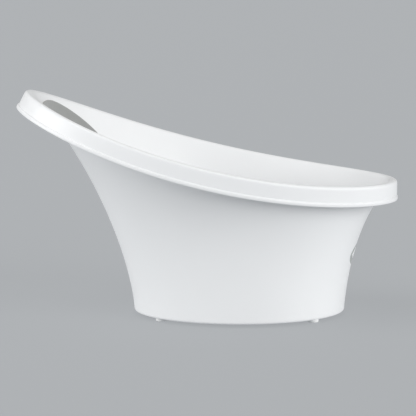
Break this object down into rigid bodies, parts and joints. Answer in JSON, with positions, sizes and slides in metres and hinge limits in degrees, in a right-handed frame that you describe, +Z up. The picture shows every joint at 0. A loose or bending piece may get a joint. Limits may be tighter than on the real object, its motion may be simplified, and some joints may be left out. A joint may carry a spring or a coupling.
{
  "type": "infant bathtub",
  "caption": "Freestanding infant bath: oval flared plastic shell with a beaded rim, tall reclined head end, foam backrest, rubber feet and lift-out drain plug.",
  "frame": {"origin": "on the floor, under the middle of the bath's length and width", "axes": "+X towards the low foot end, +Y across the bath, +Z up"},
  "size_m": [0.5411, 0.35, 0.3181],
  "materials": {
    "shell_plastic": "satin moulded",
    "foam": "soft closed-cell foam, matte",
    "adhesive": "matte film",
    "badge_grey": "matte",
    "badge_white": "satin moulded",
    "foot_rubber": "matte",
    "plug_rubber": "matte"
  },
  "bodies": {
    "bath": {"tub_shell": "shell_plastic", "backrest_pad": "foam", "backrest_adhesive": "adhesive", "badge_plate": "badge_grey", "badge_mark": "badge_white", "foot_head_left": "foot_rubber", "foot_head_right": "foot_rubber", "foot_toe_left": "foot_rubber", "foot_toe_right": "foot_rubber"},
    "plug": {"drain_plug": "plug_rubber"}
  },
  "joints": [
    {"name": "plug_lift", "type": "slide", "parent": "bath", "child": "plug", "axis": [0, 0, 1], "range_m": [0, 0.25]}
  ]
}
